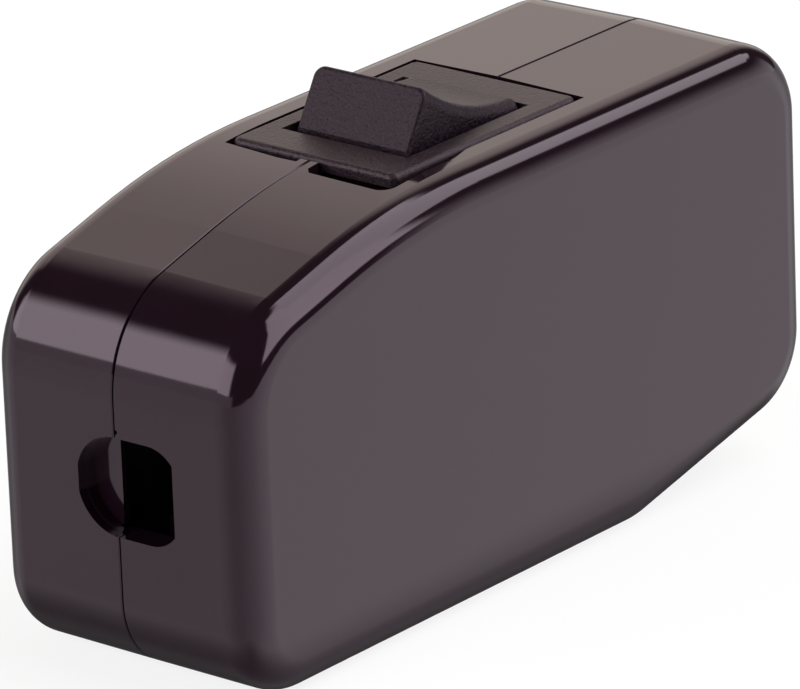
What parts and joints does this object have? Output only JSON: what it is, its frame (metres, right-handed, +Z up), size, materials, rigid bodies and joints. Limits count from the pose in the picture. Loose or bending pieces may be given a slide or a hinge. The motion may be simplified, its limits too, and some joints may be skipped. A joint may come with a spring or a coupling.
{
  "type": "inline cord switch",
  "caption": "Inline cord switch: glossy dark two-shell case with a miniature two-pole rocker in its top and a cord entry at each end.",
  "frame": {"origin": "centre of the case's footprint, on its flat bottom", "axes": "+X from the near cord entry to the far one, +Z up through the rocker, the screws on +Y"},
  "size_m": [0.0654, 0.0238, 0.0369],
  "materials": {
    "case_plastic": "polished dark brown-black thermoset moulding",
    "bezel_plastic": "fine spark-eroded texture",
    "rocker_plastic": "fine spark-eroded texture",
    "base_plastic": "moulded",
    "clamp_plastic": "moulded",
    "plunger_plastic": "moulded",
    "steel": "zinc plated",
    "spring_steel": "drawn wire",
    "copper_alloy": "rolled strip",
    "brass": "drawn and stamped",
    "contact_silver": "silver alloy"
  },
  "bodies": {
    "case": {"smooth_shell": "case_plastic", "screw_shell": "case_plastic", "case_screws": "steel", "near_cord_clamp": "clamp_plastic", "far_cord_clamp": "clamp_plastic", "clamp_screws": "steel", "module_frame": "bezel_plastic", "module_base": "base_plastic", "left_centre_terminal": "brass", "left_end_terminal": "brass", "left_fixed_contact": "contact_silver", "right_centre_terminal": "brass", "right_end_terminal": "brass", "right_fixed_contact": "contact_silver", "terminal_blocks": "brass", "terminal_screws": "steel", "earth_block": "brass", "earth_screws": "steel"},
    "rocker": {"rocker": "rocker_plastic", "left_plunger_spring": "spring_steel", "right_plunger_spring": "spring_steel"},
    "left_plunger": {"left_plunger": "plunger_plastic"},
    "right_plunger": {"right_plunger": "plunger_plastic"},
    "left_bridge": {"left_contact_bridge": "copper_alloy", "left_bridge_contact": "contact_silver"},
    "right_bridge": {"right_contact_bridge": "copper_alloy", "right_bridge_contact": "contact_silver"}
  },
  "joints": [
    {"name": "rocker_pivot", "type": "hinge", "parent": "case", "child": "rocker", "pos_m": [0.00035, 0, 0.0307], "axis": [0, 1, 0], "range_deg": [-40, 0]},
    {"name": "left_plunger_slide", "type": "slide", "parent": "rocker", "child": "left_plunger", "axis": [0.342, 0, 0.9397], "range_m": [0, 0.0006], "stiffness_N_per_m": 300, "springref_m": -0.002, "deforming": ["left_plunger_spring"]},
    {"name": "right_plunger_slide", "type": "slide", "parent": "rocker", "child": "right_plunger", "axis": [0.342, 0, 0.9397], "range_m": [0, 0.0006], "stiffness_N_per_m": 300, "springref_m": -0.002, "deforming": ["right_plunger_spring"]},
    {"name": "left_bridge_rock", "type": "hinge", "parent": "case", "child": "left_bridge", "pos_m": [0.00035, 0.0029, 0.02219], "axis": [0, 1, 0], "range_deg": [0, 16]},
    {"name": "right_bridge_rock", "type": "hinge", "parent": "case", "child": "right_bridge", "pos_m": [0.00035, -0.0029, 0.02219], "axis": [0, 1, 0], "range_deg": [0, 16]}
  ],
  "couplings": [
    {"joint": "left_bridge_rock", "follows": "rocker_pivot", "ratio": -0.4},
    {"joint": "right_bridge_rock", "follows": "rocker_pivot", "ratio": -0.4}
  ]
}
